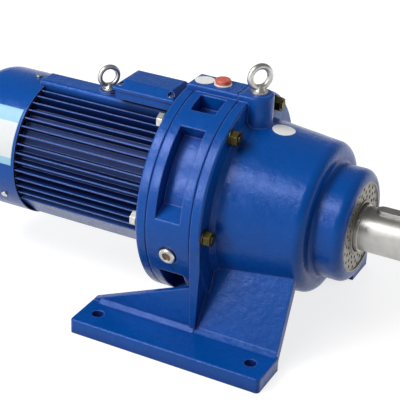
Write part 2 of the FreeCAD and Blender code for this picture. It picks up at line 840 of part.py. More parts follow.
def motor_flange():
    """Drive-end shield of the motor, grown into the large ring that closes the pin-gear housing."""
    hub_x = drive_bearing_x - hub_lip
    bearing_end = drive_bearing_x + motor_bearing_width
    seat = motor_bearing_outer + fit
    seal_seat = input_seal_radius + fit
    seal_start = input_seal_end - input_seal_width
    body = turned([(motor_flange_x, 0), (motor_flange_x, ring_radius - ring_edge),
                   (motor_flange_x + ring_edge, ring_radius), (motor_joint_x - joint_edge, ring_radius),
                   (motor_joint_x, ring_radius - joint_edge), (motor_joint_x, 0)])
    spigot = tube(motor_flange_x - spigot_length, motor_flange_x + bite,
                  frame_bore - spigot_wall, frame_bore - fit)
    hub = tube(hub_x, motor_flange_x + bite, hub_bore, motor_bearing_outer + hub_wall)
    bore = turned([(hub_x, 0), (hub_x, seat), (bearing_end, seat), (bearing_end, hub_shoulder),
                   (seal_start, hub_shoulder), (seal_start, seal_seat), (motor_joint_x, seal_seat),
                   (motor_joint_x, 0)])
    return joined([body, spigot, hub]).cut([bore] + tie_holes(motor_flange_x - past, motor_joint_x + past))


def input_oil_seal():
    """Lip seal that keeps the gear oil out of the motor."""
    return tube(input_seal_end - input_seal_width, input_seal_end, motor_shaft_radius + fit, input_seal_radius)


def fin_angles():
    """Angles of the cooling fins: all round but for the top strip and the two smooth lower pads."""
    clear = math.degrees(math.asin(strip_half_width / fin_tip)) + fin_pitch / 2
    angles = []
    for i in range(int(360 / fin_pitch)):
        up = -90 + i * fin_pitch
        side = up if up <= 90 else 180 - up
        in_pad = side_pad_span[0] - fin_pitch / 2 < side < side_pad_span[1] + fin_pitch / 2
        if side < 90 - clear and not in_pad:
            angles.append(up)
    return angles


def motor_frame():
    """Finned motor shell with a flat strip on top and a smooth pad low on each side."""
    x0, x1 = frame_x, motor_flange_x
    half = math.degrees(fin_thickness / 2 / frame_wall)
    tip_half = half * frame_wall / fin_tip * fin_taper
    outline = []
    for up in fin_angles():
        outline += [polar(frame_wall, up - half, x0), polar(fin_tip, up - tip_half, x0),
                    polar(fin_tip, up + tip_half, x0), polar(frame_wall, up + half, x0)]
    shell = Part.Face(Part.makePolygon(outline + outline[:1])).extrude(Vec(x1 - fin_end_gap - x0, 0, 0))
    strip = block(x0, x1, -strip_half_width, strip_half_width, shaft_height + frame_bore, strip_z)
    along = edges_where(strip, lambda e, m: abs(m.z - strip_z) < 1e-6 and abs(m.y) > strip_half_width - 1e-6)
    strip = strip.makeFillet(strip_edge, along)
    parts = [shell, rod(x0, x1, frame_wall), strip]
    span = side_pad_span[1] - side_pad_span[0]
    middle = (side_pad_span[0] + side_pad_span[1]) / 2
    width = 2 * side_pad_radius * math.tan(math.radians(span / 2))
    slab = block(x0, x1, -width / 2, width / 2, shaft_height + frame_bore, shaft_height + side_pad_radius)
    parts += [radial(slab, middle), radial(slab, near_side - middle)]
    parts.append(rod(x0, x0 + frame_collar, frame_collar_radius))
    parts.append(upright(motor_eye_seat, shaft_height + frame_bore, motor_eye_z, motor_eye_x))
    cuts = [rod(x0 - past, x1 + past, frame_bore)]
    eye_depth = motor_eye_neck * eye_bore_depth
    cuts.append(upright(motor_eye_neck / 2 + fit, motor_eye_z - eye_depth, motor_eye_z + past, motor_eye_x))
    screw = rod(x0 - past, x0 + shield_screw_reach + bite, shield_screw + fit, 0, shield_screw_z)
    cuts += [radial(screw, angle) for angle in shield_screw_positions()]
    return joined(parts).cut(cuts)


def shield_screw_positions():
    """Angles of the rear shield's screws."""
    return [shield_screw_turn + 360.0 * i / shield_screw_count for i in range(shield_screw_count)]


def stator_core():
    """Laminated stack pressed into the frame."""
    return tube(stator_x, stator_end, stator_bore, frame_bore - fit)


def stator_windings():
    """Coil heads at both ends of the stack."""
    return [tube(stator_x - winding_length, stator_x, winding_inner, winding_outer),
            tube(stator_end, stator_end + winding_length, winding_inner, winding_outer)]


def motor_shaft():
    """Shaft from the fan to the eccentric sleeve."""
    drive_end = drive_bearing_x + motor_bearing_width
    fan_bearing_end = fan_bearing_x + motor_bearing_width
    end = disc_b_x + disc_thickness
    shaft = turned([(fan_x, 0), (fan_x, fan_shaft_radius), (fan_bearing_x, fan_shaft_radius),
                    (fan_bearing_x, motor_journal), (fan_bearing_end, motor_journal),
                    (fan_bearing_end, core_shaft_radius), (drive_bearing_x, core_shaft_radius),
                    (drive_bearing_x, motor_journal), (drive_end, motor_journal),
                    (drive_end, motor_shaft_radius), (end, motor_shaft_radius), (end, 0)])
    half = eccentric_key_width / 2 + fit
    slot = block(disc_a_x, end, -half, half, eccentric_key_z, shaft_height + motor_shaft_radius + past)
    return shaft.cut(slot)


def rotor_core():
    """Rotor stack on the shaft."""
    return tube(stator_x, stator_end, core_shaft_radius + fit, stator_bore - air_gap)


def rotor_end_rings():
    """Cast rings at both ends of the rotor cage."""
    return [tube(stator_x - end_ring_length, stator_x, end_ring_inner, end_ring_outer),
            tube(stator_end, stator_end + end_ring_length, end_ring_inner, end_ring_outer)]


def rear_end_shield():
    """Fan-side end shield with its bearing hub and the lugs that carry the cowl."""
    hub_end = fan_bearing_x + motor_bearing_width
    plate_disc = rod(shield_x, frame_x, shield_radius)
    spigot = tube(frame_x - bite, frame_x + spigot_length, frame_bore - spigot_wall, frame_bore - fit)
    hub = tube(frame_x - bite, hub_end, hub_bore, motor_bearing_outer + hub_wall)
    inside = math.sqrt((cowl_radius - cowl_wall) ** 2 - cowl_lug_half ** 2)
    lug = block(cowl_screw_x - cowl_lug_length, frame_x, -cowl_lug_half, cowl_lug_half,
                shaft_height + shield_radius - past, shaft_height + inside - fit)
    lugs = [radial(lug, angle) for angle in cowl_screw_positions()]
    body = joined([plate_disc, spigot, hub] + lugs)
    cuts = [rod(shield_x, hub_end, fan_shaft_radius + shield_bore_gap),
            rod(fan_bearing_x, hub_end, motor_bearing_outer + fit)]
    screw = rod(shield_x - past, frame_x + past, shield_screw + fit, 0, shield_screw_z)
    cuts += [radial(screw, angle) for angle in shield_screw_positions()]
    hole = upright(cowl_screw_radius + fit, shaft_height + shield_radius, shaft_height + cowl_radius,
                   cowl_screw_x)
    cuts += [radial(hole, angle) for angle in cowl_screw_positions()]
    return body.cut(cuts)


def end_shield_screws():
    """Screws that hold the rear end shield to the frame."""
    head = hex_rod(shield_x - shield_screw_head, shield_x, shield_screw_flats, 0, shield_screw_z)
    shank = rod(shield_x - bite, frame_x + shield_screw_reach, shield_screw, 0, shield_screw_z)
    screw = joined([head, shank])
    return [radial(screw, angle) for angle in shield_screw_positions()]


def cowl_screw_positions():
    """Angles of the cowl screws."""
    return [cowl_screw_angle + 360.0 * i / cowl_screw_count for i in range(cowl_screw_count)]


def cowl_profile(inset):
    """Half outline of the cowl, drawn in by an inset."""
    top = shaft_height + cowl_radius - inset
    end = cowl_x + inset
    corner = cowl_corner - inset
    middle = Vec(end + corner, 0, top - corner)
    cosine = math.cos(math.radians(45))
    arc = Part.Arc(Vec(middle.x, 0, top), middle + Vec(-cosine, 0, cosine) * corner, Vec(end, 0, middle.z))
    mouth = Vec(cowl_end_x + inset, 0, top)
    return [Part.makeLine(mouth, Vec(middle.x, 0, top)), arc.toShape(),
            Part.makeLine(Vec(end, 0, middle.z), Vec(end, 0, shaft_height)),
            Part.makeLine(Vec(end, 0, shaft_height), Vec(mouth.x, 0, shaft_height)),
            Part.makeLine(Vec(mouth.x, 0, shaft_height), mouth)]


def fan_cowl():
    """Thin pressed cover round the fan with a slotted grille behind."""
    cowl = turned_path(cowl_profile(0)).cut(turned_path(cowl_profile(cowl_wall)))
    depth = (cowl_x - past, cowl_x + cowl_wall + past)
    slots = [tube(depth[0], depth[1], radius, radius + cowl_slot) for radius in cowl_rows]
    bar = block(depth[0], depth[1], -cowl_bar / 2, cowl_bar / 2, shaft_height, shaft_height + cowl_radius)
    bars = ring_of(bar, cowl_spoke_count)
    cuts = [slot.cut(bars) for slot in slots]
    top = shaft_height + cowl_radius
    hole = upright(cowl_screw_radius + fit, top - cowl_wall - past, top + past, cowl_screw_x)
    cuts += [radial(hole, angle) for angle in cowl_screw_positions()]
    strip_room = block(frame_x - bite, cowl_end_x + past, -strip_half_width - bite, strip_half_width + bite,
                       shaft_height + frame_wall, strip_z + past)
    return cowl.cut(cuts + [strip_room])


def cowl_screws():
    """Pan-head screws that hold the cowl to its lugs."""
    z = shaft_height + cowl_radius
    head = upright(cowl_screw_radius * 2, z, z + cowl_screw_head, cowl_screw_x)
    screw = joined([head, upright(cowl_screw_radius, z - cowl_screw_reach, z + bite, cowl_screw_x)])
    return [radial(screw, angle) for angle in cowl_screw_positions()]


def fan():
    """Radial fan pressed on the rear of the motor shaft."""
    x1 = fan_x + fan_width
    blade = block(fan_x, x1, -fan_blade_thickness / 2, fan_blade_thickness / 2,
                  shaft_height + fan_hub - past, shaft_height + fan_radius)
    hub = [rod(fan_x, x1, fan_hub), rod(x1 - fan_plate, x1, fan_plate_radius)]
    body = joined(hub + ring_of(blade, fan_blade_count))
    return body.cut(rod(fan_x - past, x1 + past, fan_shaft_radius + fit))


def terminal_box():
    """Open box that stands over the motor's top strip."""
    x0, x1 = box_x, box_x + box_length
    half = box_half_width
    box = block(x0, x1, -half, half, box_z, lid_z)
    corners = edges_where(box, lambda e, m: abs(m.z - (box_z + lid_z) / 2) < 1e-6)
    box = box.makeFillet(box_edge, corners)
    room = block(x0 + box_wall, x1 - box_wall, box_wall - half, half - box_wall, box_z + box_wall, lid_z + past)
    stand = block(x0 + box_edge, x1 - box_edge, -box_stand_half, box_stand_half, strip_z, box_z + bite)
    posts = [upright(lid_screw_post, box_z, lid_z, x, y) for x, y in lid_screw_positions()]
    box = joined([box.cut(room), stand] + posts)
    holes = [upright(lid_screw_radius + fit, lid_z - lid_screw_reach - bite, lid_z + past, x, y)
             for x, y in lid_screw_positions()]
    gland = Part.makeCylinder(gland_radius + fit, box_wall + past, gland_centre(half - box_wall - bite), Vec(0, 1, 0))
    return box.cut(holes + [gland])


def gland_centre(y):
    """Centre line of the cable entry on the far side of the box."""
    return Vec(box_x + box_length / 2, y, box_z + gland_height)


def lid_screw_positions():
    """Corner places of the lid screws."""
    xs = (box_x + lid_screw_inset, box_x + box_length - lid_screw_inset)
    ys = (lid_screw_inset - box_half_width, box_half_width - lid_screw_inset)
    return [(x, y) for x in xs for y in ys]


def terminal_box_lid():
    """Hipped lid: upright rim, four sloping sides and a flat top."""
    x0, x1 = box_x - lid_lap, box_x + box_length + lid_lap
    half = box_half_width + lid_lap
    top = lid_z + lid_height
    low = lid_z + lid_rim
    inner_half = half - lid_side_slope
    a0, a1 = x0 + lid_end_slope, x1 - lid_end_slope
    rim_line = [Vec(x0, -half, low), Vec(x1, -half, low), Vec(x1, half, low), Vec(x0, half, low)]
    top_line = [Vec(a0, -inner_half, top), Vec(a1, -inner_half, top), Vec(a1, inner_half, top),
                Vec(a0, inner_half, top)]
    hip = Part.makeLoft([Part.makePolygon(line + line[:1]) for line in (rim_line, top_line)], True, True)
    lid = joined([hip, block(x0, x1, -half, half, lid_z, low)])
    lid = lid.makeFillet(lid_edge, edges_where(lid, lambda e, m: m.z > lid_z + 1e-6))
    room = block(a0 + lid_wall, a1 - lid_wall, lid_wall - inner_half, inner_half - lid_wall,
                 lid_z - past, top - lid_top_wall)
    holes = [upright(lid_screw_radius + fit, lid_z - past, top + past, x, y) for x, y in lid_screw_positions()]
    heads = [upright(lid_screw_radius * 2 + fit, low, top + past, x, y) for x, y in lid_screw_positions()]
    return lid.cut([room] + holes + heads)


def lid_screws():
    """Pan-head screws in the lid's corners."""
    low = lid_z + lid_rim
    screws = []
    for x, y in lid_screw_positions():
        head = upright(lid_screw_radius * 2, low, low + lid_screw_head, x, y)
        shank = upright(lid_screw_radius, lid_z - lid_screw_reach, low + bite, x, y)
        screws.append(joined([head, shank]))
    return screws


def terminal_board():
    """Insulating board inside the terminal box."""
    x = box_x + box_length / 2
    z = box_z + box_wall
    return block(x - board_half_length, x + board_half_length, -board_half_width, board_half_width,
                 z, z + board_height)


def terminal_studs():
    """Studs on the terminal board, in two rows."""
    x = box_x + box_length / 2
    z = box_z + box_wall + board_height
    places = [(x + i * stud_pitch_x, j * stud_row_y) for i in (-1, 0, 1) for j in (-1, 1)]
    return [upright(stud_radius, z, z + stud_height, px, py) for px, py in places]


def cable_gland():
    """Empty cable gland on the far side of the box."""
    start = gland_centre(box_half_width)
    shank = Part.makeCylinder(gland_radius, box_wall + gland_shank, start - Vec(0, box_wall, 0), Vec(0, 1, 0))
    nut = hex_rod(0, gland_length, gland_flats, 0, 0)
    nut.rotate(Vec(0, 0, 0), Vec(0, 0, 1), 90)
    nut.translate(start)
    passage = Part.makeCylinder(gland_radius - gland_wall, box_wall + gland_length + 2 * past,
                                start - Vec(0, box_wall + past, 0), Vec(0, 1, 0))
    return joined([shank, nut]).cut(passage)


def pieces():
    """Every node of the assembly by name."""
    rear = roller_bearing(rear_bearing_x, rear_bearing_width, rear_journal, rear_bearing_outer,
                          race_thickness, bearing_roller_count)
    front = roller_bearing(front_bearing_x, front_bearing_width, front_journal, front_bearing_outer,
                           race_thickness, bearing_roller_count)
    drive = roller_bearing(drive_bearing_x, motor_bearing_width, motor_journal, motor_bearing_outer,
                           motor_race, motor_roller_count)
    tail = roller_bearing(fan_bearing_x, motor_bearing_width, motor_journal, motor_bearing_outer,
                          motor_race, motor_roller_count)
    nodes = {
        "base_housing": base_housing(),
        "pin_gear_housing": pin_gear_housing(),
        "motor_flange": motor_flange(),
        "ring_pins": ring_pins(),
        "ring_pin_sleeves": ring_pin_sleeves(),
        "cycloid_disc_a": cycloid_disc(disc_a_x, 1),
        "cycloid_disc_b": cycloid_disc(disc_b_x, -1),
        "disc_spacer": disc_spacer(),
        "eccentric_sleeve": eccentric_sleeve(),
        "eccentric_key": eccentric_key(),
        "eccentric_rollers_a": eccentric_rollers(disc_a_x, 1),
        "eccentric_rollers_b": eccentric_rollers(disc_b_x, -1),
        "output_pins": output_pins(),
        "output_pin_sleeves": output_pin_sleeves(),
        "output_shaft": output_shaft(),
        "output_key": key_shape(0),
        "bearing_spacer": bearing_spacer(),
        "oil_seal": oil_seal(),
        "seal_cover": seal_cover(),
        "tie_bolts": tie_bolts(),
        "tie_bolt_nuts": tie_bolt_nuts(),
        "tie_bolt_washers": tie_bolt_washers(),
        "reducer_eyebolt": eyebolt(eye_x, pad_z, eye_size, eye_hole, eye_rise, eye_neck),
        "sight_glass_body": sight_glass_body(),
        "sight_glass_lens": sight_glass_lens(),
        "drain_plug": drain_plug(),
        "input_oil_seal": input_oil_seal(),
        "motor_frame": motor_frame(),
        "stator_core": stator_core(),
        "stator_windings": stator_windings(),
        "motor_shaft": motor_shaft(),
        "rotor_core": rotor_core(),
        "rotor_end_rings": rotor_end_rings(),
        "rear_end_shield": rear_end_shield(),
        "end_shield_screws": end_shield_screws(),
        "fan": fan(),
        "fan_cowl": fan_cowl(),
        "cowl_screws": cowl_screws(),
        "terminal_box": terminal_box(),
        "terminal_box_lid": terminal_box_lid(),
        "lid_screws": lid_screws(),
        "terminal_board": terminal_board(),
        "terminal_studs": terminal_studs(),
        "cable_gland": cable_gland(),
        "motor_eyebolt": eyebolt(motor_eye_x, motor_eye_z, motor_eye_size, motor_eye_hole, motor_eye_rise,
                                 motor_eye_neck),
    }
    bearings = {"output_rear": rear, "output_front": front, "motor_drive": drive, "motor_tail": tail}
    for name, (outer, rollers, inner) in bearings.items():
        nodes[name + "_bearing_outer_race"] = outer
        nodes[name + "_bearing_rollers"] = rollers
        nodes[name + "_bearing_inner_race"] = inner
    return nodes


def main():
    os.makedirs("parts", exist_ok=True)
    for name, shape in pieces().items():
        solid = Part.makeCompound(shape) if isinstance(shape, list) else shape
        solid.exportStep("parts/" + name + ".step")


main()
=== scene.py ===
"""Looks of the foot-mounted cycloidal gearmotor: materials, stickers, plate, stage, lights and camera."""
import bpy
import json
import math
from mathutils import Matrix, Vector


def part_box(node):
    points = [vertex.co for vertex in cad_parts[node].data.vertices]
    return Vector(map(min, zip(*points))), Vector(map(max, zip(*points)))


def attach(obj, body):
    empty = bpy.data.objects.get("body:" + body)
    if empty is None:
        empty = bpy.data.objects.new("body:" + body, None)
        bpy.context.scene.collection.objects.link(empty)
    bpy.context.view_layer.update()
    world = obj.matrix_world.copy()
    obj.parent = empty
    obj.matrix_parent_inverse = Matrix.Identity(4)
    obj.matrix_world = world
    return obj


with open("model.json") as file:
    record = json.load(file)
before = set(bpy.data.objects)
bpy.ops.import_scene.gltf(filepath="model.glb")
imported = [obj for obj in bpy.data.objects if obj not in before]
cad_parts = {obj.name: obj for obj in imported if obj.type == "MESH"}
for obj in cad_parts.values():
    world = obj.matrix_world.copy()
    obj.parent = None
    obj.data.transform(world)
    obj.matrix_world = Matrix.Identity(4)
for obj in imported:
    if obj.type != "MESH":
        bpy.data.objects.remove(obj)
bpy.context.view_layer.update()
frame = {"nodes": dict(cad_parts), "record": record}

# Height of the shaft axis, which the plate is bent round
shaft_end = next(mount for mount in frame["record"]["mounts"] if mount["name"] == "output_shaft_end")
AXIS_Z = shaft_end["pos_m"][2]

# Enamel
BLUE = (0.0004, 0.069, 0.335)
NAVY_SHADE = (0.0003, 0.010, 0.135)   # painted shade in hollows
RUBBED_HIGHLIGHT = (0.12, 0.19, 0.50)     # on the edges of castings: partly rubbed paint, partly a painted highlight
BARE_HIGHLIGHT = (0.20, 0.26, 0.52)       # on the edges of fins and sheet: partly thin paint, partly a painted highlight
ENAMEL_GLOSS = 0.5
ENAMEL_TINT = (0.44, 0.52, 1.0, 1.0)
FILM_ROUGH = (0.22, 0.34)
HOLLOW_ROUGH = 0.6
HOLLOW_AIR = (0.3, 0.85)        # share of open air in the deepest hollow, and where hollows end
PATCH_SHADE = 0.86              # darker patches of the film
LUMP_DEPTH = 0.0018
SAND_DEPTH = 0.00035

# Metals, plastics and print
ZINC = (0.70, 0.69, 0.66)
DULL_ZINC = (0.50, 0.49, 0.46)
OLIVE = (0.105, 0.09, 0.035)    # yellow zinc
CYAN = (0.32, 0.58, 0.74)       # bands of the plate
OIL = (0.16, 0.07, 0.025)
THIN_OIL = (0.30, 0.15, 0.06)
NYLON = (0.80, 0.80, 0.77)
SOILED_NYLON = (0.66, 0.65, 0.61)
RED = (0.56, 0.085, 0.05)
FADED_RED = (0.66, 0.24, 0.18)
PAPER = (0.80, 0.80, 0.78)
SOILED_PAPER = (0.66, 0.65, 0.62)
PLATE = (0.68, 0.70, 0.71)
SOILED_PLATE = (0.58, 0.60, 0.61)
TIP_FADE = (0.0, 0.01)          # places along the shaft between which bolts turn to their tips' colour
PLATED_EDGE = 0.0012            # radii that edges are softened with
TURNED_EDGE = 0.001
MOULDED_EDGE = 0.0008
NOISE_RANGE = (0.3, 0.7)        # where most of a noise texture lies
EDGE_TURN = (0.998, 0.86)       # cosines of a softened normal where an edge starts to show, and shows most

# Filler plug on its washer, and the pad that crosses the motor's ring
PAD_HALF = 0.0272               # half the pad's width
PAD_LENGTH = 0.0145
PAD_DEPTH = 0.016               # how far down the pad stands in the ring
PAD_EDGE = 0.004
WASHER_RADIUS = 0.016
WASHER_HEIGHT = 0.0025
WASHER_EDGE = WASHER_HEIGHT / 4
PLUG_RADIUS = 0.014
PLUG_HEIGHT = 0.008
PLUG_EDGE = 0.0025
SEAT = 0.0002                   # how deep a piece is let into what carries it
BEND_STEPS = 6                  # of a rounded edge
ROUND_POINTS = 64               # of the plug and the washer

# Bare stickers and plate
FILM = 0.0006                   # thickness
FILM_WALL = FILM * 0.6          # height of the upright edge
FILM_LIP = 0.985                # share of the outline where the edge reaches full thickness
UNDER = 0.00005                 # height of the back over the paint
FILM_RINGS = 14
STICKER_POINTS = 72
PANEL_STEPS = 24                # points along each side of the plate
PAD_STICKER = (-0.0643, 0.0)
PAD_STICKER_RADIUS = 0.018
BARREL_STICKER = (0.0924, 0.002)
BARREL_STICKER_RADIUS = 0.0205
PLATE_X = -0.438
PLATE_HALF = 0.044              # half its length
PLATE_LOW = math.radians(3.5)   # angles up from the near side
PLATE_HIGH = math.radians(50.6)
LOW_BAND = (math.radians(3.0), math.radians(10.0))
HIGH_BAND = (math.radians(38.5), math.radians(51.0))
BAND_FADE = 0.004

# Stage and light
SKY_LIGHT = 0.22
FLOOR_SIZE = 12.0
FLOOR_DROP = 0.0005             # how far it lies under the feet
FLOOR_GREY = (0.36, 0.36, 0.36, 1)
FLOOR_REACH = (0.7, 2.5)        # distances between which the lamps fade from the floor
FLOOR_SHOWN = (0.76, 0.94)      # and what makes up for it in the picture
CEILING = (0.05, 0.3)           # heights of view between which the white walls turn to the ceiling's grey
CEILING_GREY = 0.2
WHITE = (1, 1, 1, 1)
LAMP_AIM = (-0.05, 0, 0.25)
LAMPS = {                       # azimuth, elevation, distance, width and height, power, mirrored by gloss
    "key": (-27, 51, 2.4, (2.0, 0.75), 35, True),
    "spot": (-48, 48, 2.4, (0.8, 0.55), 8, True),
    "low": (-25, 22, 2.4, (0.5, 0.8), 18, True),
    "right": (125, 14, 2.6, (1.6, 0.9), 19, False),
    "behind": (-150, 14, 2.6, (1.6, 0.9), 22, False),
}

# Camera, as solved from the photograph
CAMERA_PLACE = (0.870456, -1.882086, 1.274096)
CAMERA_AZIMUTH = 26.4169
CAMERA_ELEVATION = 27.3543
CAMERA_ROLL = 0.0414            # in radians
FOCAL_WIDTHS = 1274.23 / 400    # focal length in widths of the picture
SENSOR_WIDTH = 36.0
CLIP = (0.05, 60.0)


# Node helpers

def put(tree, kind, inputs=None, **settings):
    """New shader node with its settings, and its inputs set to values or linked to sockets."""
    node = tree.nodes.new("ShaderNode" + kind)
    for key, value in settings.items():
        setattr(node, key, value)
    for key, value in (inputs or {}).items():
        if isinstance(value, bpy.types.NodeSocket):
            tree.links.new(value, node.inputs[key])
        else:
            node.inputs[key].default_value = value
    return node


def start(name, **values):
    """New material, its node tree and its shader with plain values set on the shader's own sockets."""
    mat = bpy.data.materials.new(name)
    mat.use_nodes = True
    tree = mat.node_tree
    bsdf = tree.nodes["Principled BSDF"]
    for key, value in values.items():
        bsdf.inputs[key.replace("_", " ")].default_value = value
    return mat, tree, bsdf


def wire(tree, bsdf, colour, roughness, normal=None):
    """Link what a material works out to its shader."""
    tree.links.new(colour, bsdf.inputs["Base Color"])
    tree.links.new(roughness, bsdf.inputs["Roughness"])
    if normal is not None:
        tree.links.new(normal, bsdf.inputs["Normal"])


def place(tree, stretch=(1, 1, 1)):
    """Coordinates in the part's own frame, stretched along its axes."""
    coords = put(tree, "TexCoord").outputs["Object"]
    return put(tree, "Mapping", {"Vector": coords, "Scale": stretch}).outputs["Vector"]


def noise(tree, where, scale, detail, rough=0.55):
    """Factor of a noise texture, with scale in features per metre."""
    return put(tree, "TexNoise", {"Vector": where, "Scale": scale, "Detail": detail,
                                  "Roughness": rough}).outputs[0]


def span(tree, value, low, high, out_low=0.0, out_high=1.0):
    """Value moved from one range to another, held at the ends."""
    return put(tree, "MapRange", {"Value": value, "From Min": low, "From Max": high,
                                  "To Min": out_low, "To Max": out_high}).outputs["Result"]


def spread(tree, value, out_low=0.0, out_high=1.0):
    """Noise moved from the range where most of it lies to another."""
    return span(tree, value, *NOISE_RANGE, out_low, out_high)


def maths(tree, operation, a, b):
    """Result of one operation on two values or sockets."""
    return put(tree, "Math", {0: a, 1: b}, operation=operation).outputs[0]


def between(tree, factor, a, b):
    """Value mixed from two values or sockets."""
    return put(tree, "Mix", {0: factor, 2: a, 3: b}).outputs[0]


def blend(tree, factor, a, b):
    """Colour mixed from two colours or sockets."""
    node = put(tree, "Mix", {0: factor}, data_type="RGBA")
    for index, value in ((6, a), (7, b)):
        if isinstance(value, bpy.types.NodeSocket):
            tree.links.new(value, node.inputs[index])
        else:
            node.inputs[index].default_value = (*value, 1.0)
    return node.outputs[2]


def scaled(colour, factor):
    """Colour made darker or lighter."""
    return [min(1.0, c * factor) for c in colour]


def bump(tree, height, depth, strength, normal=None):
    """Normal raised by a height, with depth in metres."""
    node = put(tree, "Bump", {"Height": height, "Distance": depth, "Strength": strength})
    if normal is not None:
        tree.links.new(normal, node.inputs["Normal"])
    return node.outputs["Normal"]


def angle_up(tree, where):
    """Angle of a place round the shaft axis, up from the near side."""
    axes = put(tree, "SeparateXYZ", {0: where}).outputs
    near = maths(tree, "MULTIPLY", axes["Y"], -1.0)
    return maths(tree, "ARCTAN2", maths(tree, "SUBTRACT", axes["Z"], AXIS_Z), near)


def softened(tree, radius):
    """Normal rounded off at edges."""
    return put(tree, "Bevel", {"Radius": radius}, samples=6).outputs["Normal"]


def edge_mask(tree, soft):
    """How near a point is to a sharp edge, told by its softened normal."""
    true = put(tree, "NewGeometry").outputs["True Normal"]
    dot = put(tree, "VectorMath", {0: soft, 1: true}, operation="DOT_PRODUCT").outputs["Value"]
    return span(tree, dot, *EDGE_TURN)


# Materials

def enamel(name, shade, hollow_shade, worn_highlight, rub_highlight, reach, edge_size, grain=1.0):
    """Glossy enamel over a casting: uneven film, soft lumps, painted shade in the hollows, and lighter edges
    that are partly thin paint and partly a painted highlight.
    """
    mat, tree, bsdf = start(name, Specular_IOR_Level=ENAMEL_GLOSS, Specular_Tint=ENAMEL_TINT)
    where = place(tree)
    soft = softened(tree, edge_size)
    patch = spread(tree, noise(tree, where, scale=9.0, detail=3.0))
    open_air = put(tree, "AmbientOcclusion", {"Distance": reach}, samples=8).outputs["AO"]
    hollow = span(tree, open_air, *HOLLOW_AIR, 1.0, 0.0)
    # lighter edges: partly rubbed paint, partly a painted highlight
    edge = span(tree, edge_mask(tree, soft), 0.1, 1.0, 0.0, rub_highlight)
    colour = blend(tree, patch, shade, scaled(shade, PATCH_SHADE))
    # painted shade: navy mixed in where ambient occlusion finds a hollow
    colour = blend(tree, hollow, colour, hollow_shade)
    colour = blend(tree, edge, colour, worn_highlight)
    film = spread(tree, noise(tree, where, scale=55.0, detail=5.0, rough=0.6), *FILM_ROUGH)
    lumps = noise(tree, where, scale=60.0, detail=3.0)
    sand = noise(tree, where, scale=420.0, detail=3.0, rough=0.65)
    normal = bump(tree, lumps, LUMP_DEPTH * grain, strength=0.5, normal=soft)
    normal = bump(tree, sand, SAND_DEPTH * grain, strength=0.5, normal=normal)
    wire(tree, bsdf, colour, between(tree, hollow, film, HOLLOW_ROUGH), normal)
    return mat


def plated(name, bright, dull, low=0.2, high=0.38, tips=None):
    """Plated or forged metal: cloudy tone, fine pits and bright edges, and a colour for the tips of bolts."""
    mat, tree, bsdf = start(name, Metallic=1.0)
    where = place(tree)
    soft = softened(tree, PLATED_EDGE)
    cloud = noise(tree, where, scale=130.0, detail=5.0, rough=0.6)
    edge = span(tree, edge_mask(tree, soft), 0.0, 1.0, 0.0, 0.5)
    colour = blend(tree, spread(tree, cloud), bright, dull)
    colour = blend(tree, edge, colour, scaled(bright, 1.25))
    if tips:
        along = put(tree, "SeparateXYZ", {0: where}).outputs["X"]
        colour = blend(tree, span(tree, along, *TIP_FADE), colour, tips)
    pits = noise(tree, where, scale=900.0, detail=3.0)
    normal = bump(tree, pits, depth=0.0001, strength=0.4, normal=soft)
    wire(tree, bsdf, colour, spread(tree, cloud, low, high), normal)
    return mat


def turned(name, bright, dull, low, high, pitch=1400.0):
    """Turned or ground steel: fine rings round the shaft, smears of oil."""
    mat, tree, bsdf = start(name, Metallic=1.0)
    rings = noise(tree, place(tree, (pitch, 12.0, 12.0)), scale=1.0, detail=3.0, rough=0.7)
    smear = noise(tree, place(tree), scale=26.0, detail=4.0, rough=0.6)
    colour = blend(tree, span(tree, smear, 0.35, 0.7), bright, dull)
    colour = blend(tree, span(tree, rings, 0.3, 0.8, 0.0, 0.35), colour, dull)
    normal = bump(tree, rings, depth=0.00006, strength=0.5, normal=softened(tree, TURNED_EDGE))
    wire(tree, bsdf, colour, span(tree, rings, 0.2, 0.8, low, high), normal)
    return mat


def stacked(name, bright, dull, pitch=1600.0):
    """Core of stacked sheets: fine lines along the shaft."""
    mat, tree, bsdf = start(name, Metallic=0.8)
    lines = noise(tree, place(tree, (pitch, 4.0, 4.0)), scale=1.0, detail=2.0)
    colour = blend(tree, span(tree, lines, 0.35, 0.65), dull, bright)
    normal = bump(tree, lines, depth=0.0003, strength=0.5)
    wire(tree, bsdf, colour, spread(tree, lines, 0.35, 0.6), normal)
    return mat


def moulded(name, shade, pale, low=0.4, high=0.6):
    """Moulded plastic or rubber: fine grain and a little dust."""
    mat, tree, bsdf = start(name)
    where = place(tree)
    dust = noise(tree, where, scale=40.0, detail=5.0, rough=0.6)
    fine = noise(tree, where, scale=700.0, detail=2.0)
    colour = blend(tree, span(tree, dust, 0.45, 0.8), shade, pale)
    normal = bump(tree, fine, depth=0.00015, strength=0.4, normal=softened(tree, MOULDED_EDGE))
    wire(tree, bsdf, colour, spread(tree, fine, low, high), normal)
    return mat


def wound(name, bright, dull):
    """Coil heads: bundles of varnished wire running round the core."""
    mat, tree, bsdf = start(name, Metallic=0.7)
    wave = {"Vector": place(tree), "Scale": 160.0, "Distortion": 2.5, "Detail": 2.0}
    strands = put(tree, "TexWave", wave, bands_direction="X").outputs[1]
    normal = bump(tree, strands, depth=0.0012, strength=0.6)
    wire(tree, bsdf, blend(tree, strands, dull, bright), span(tree, strands, 0.0, 1.0, 0.5, 0.3), normal)
    return mat


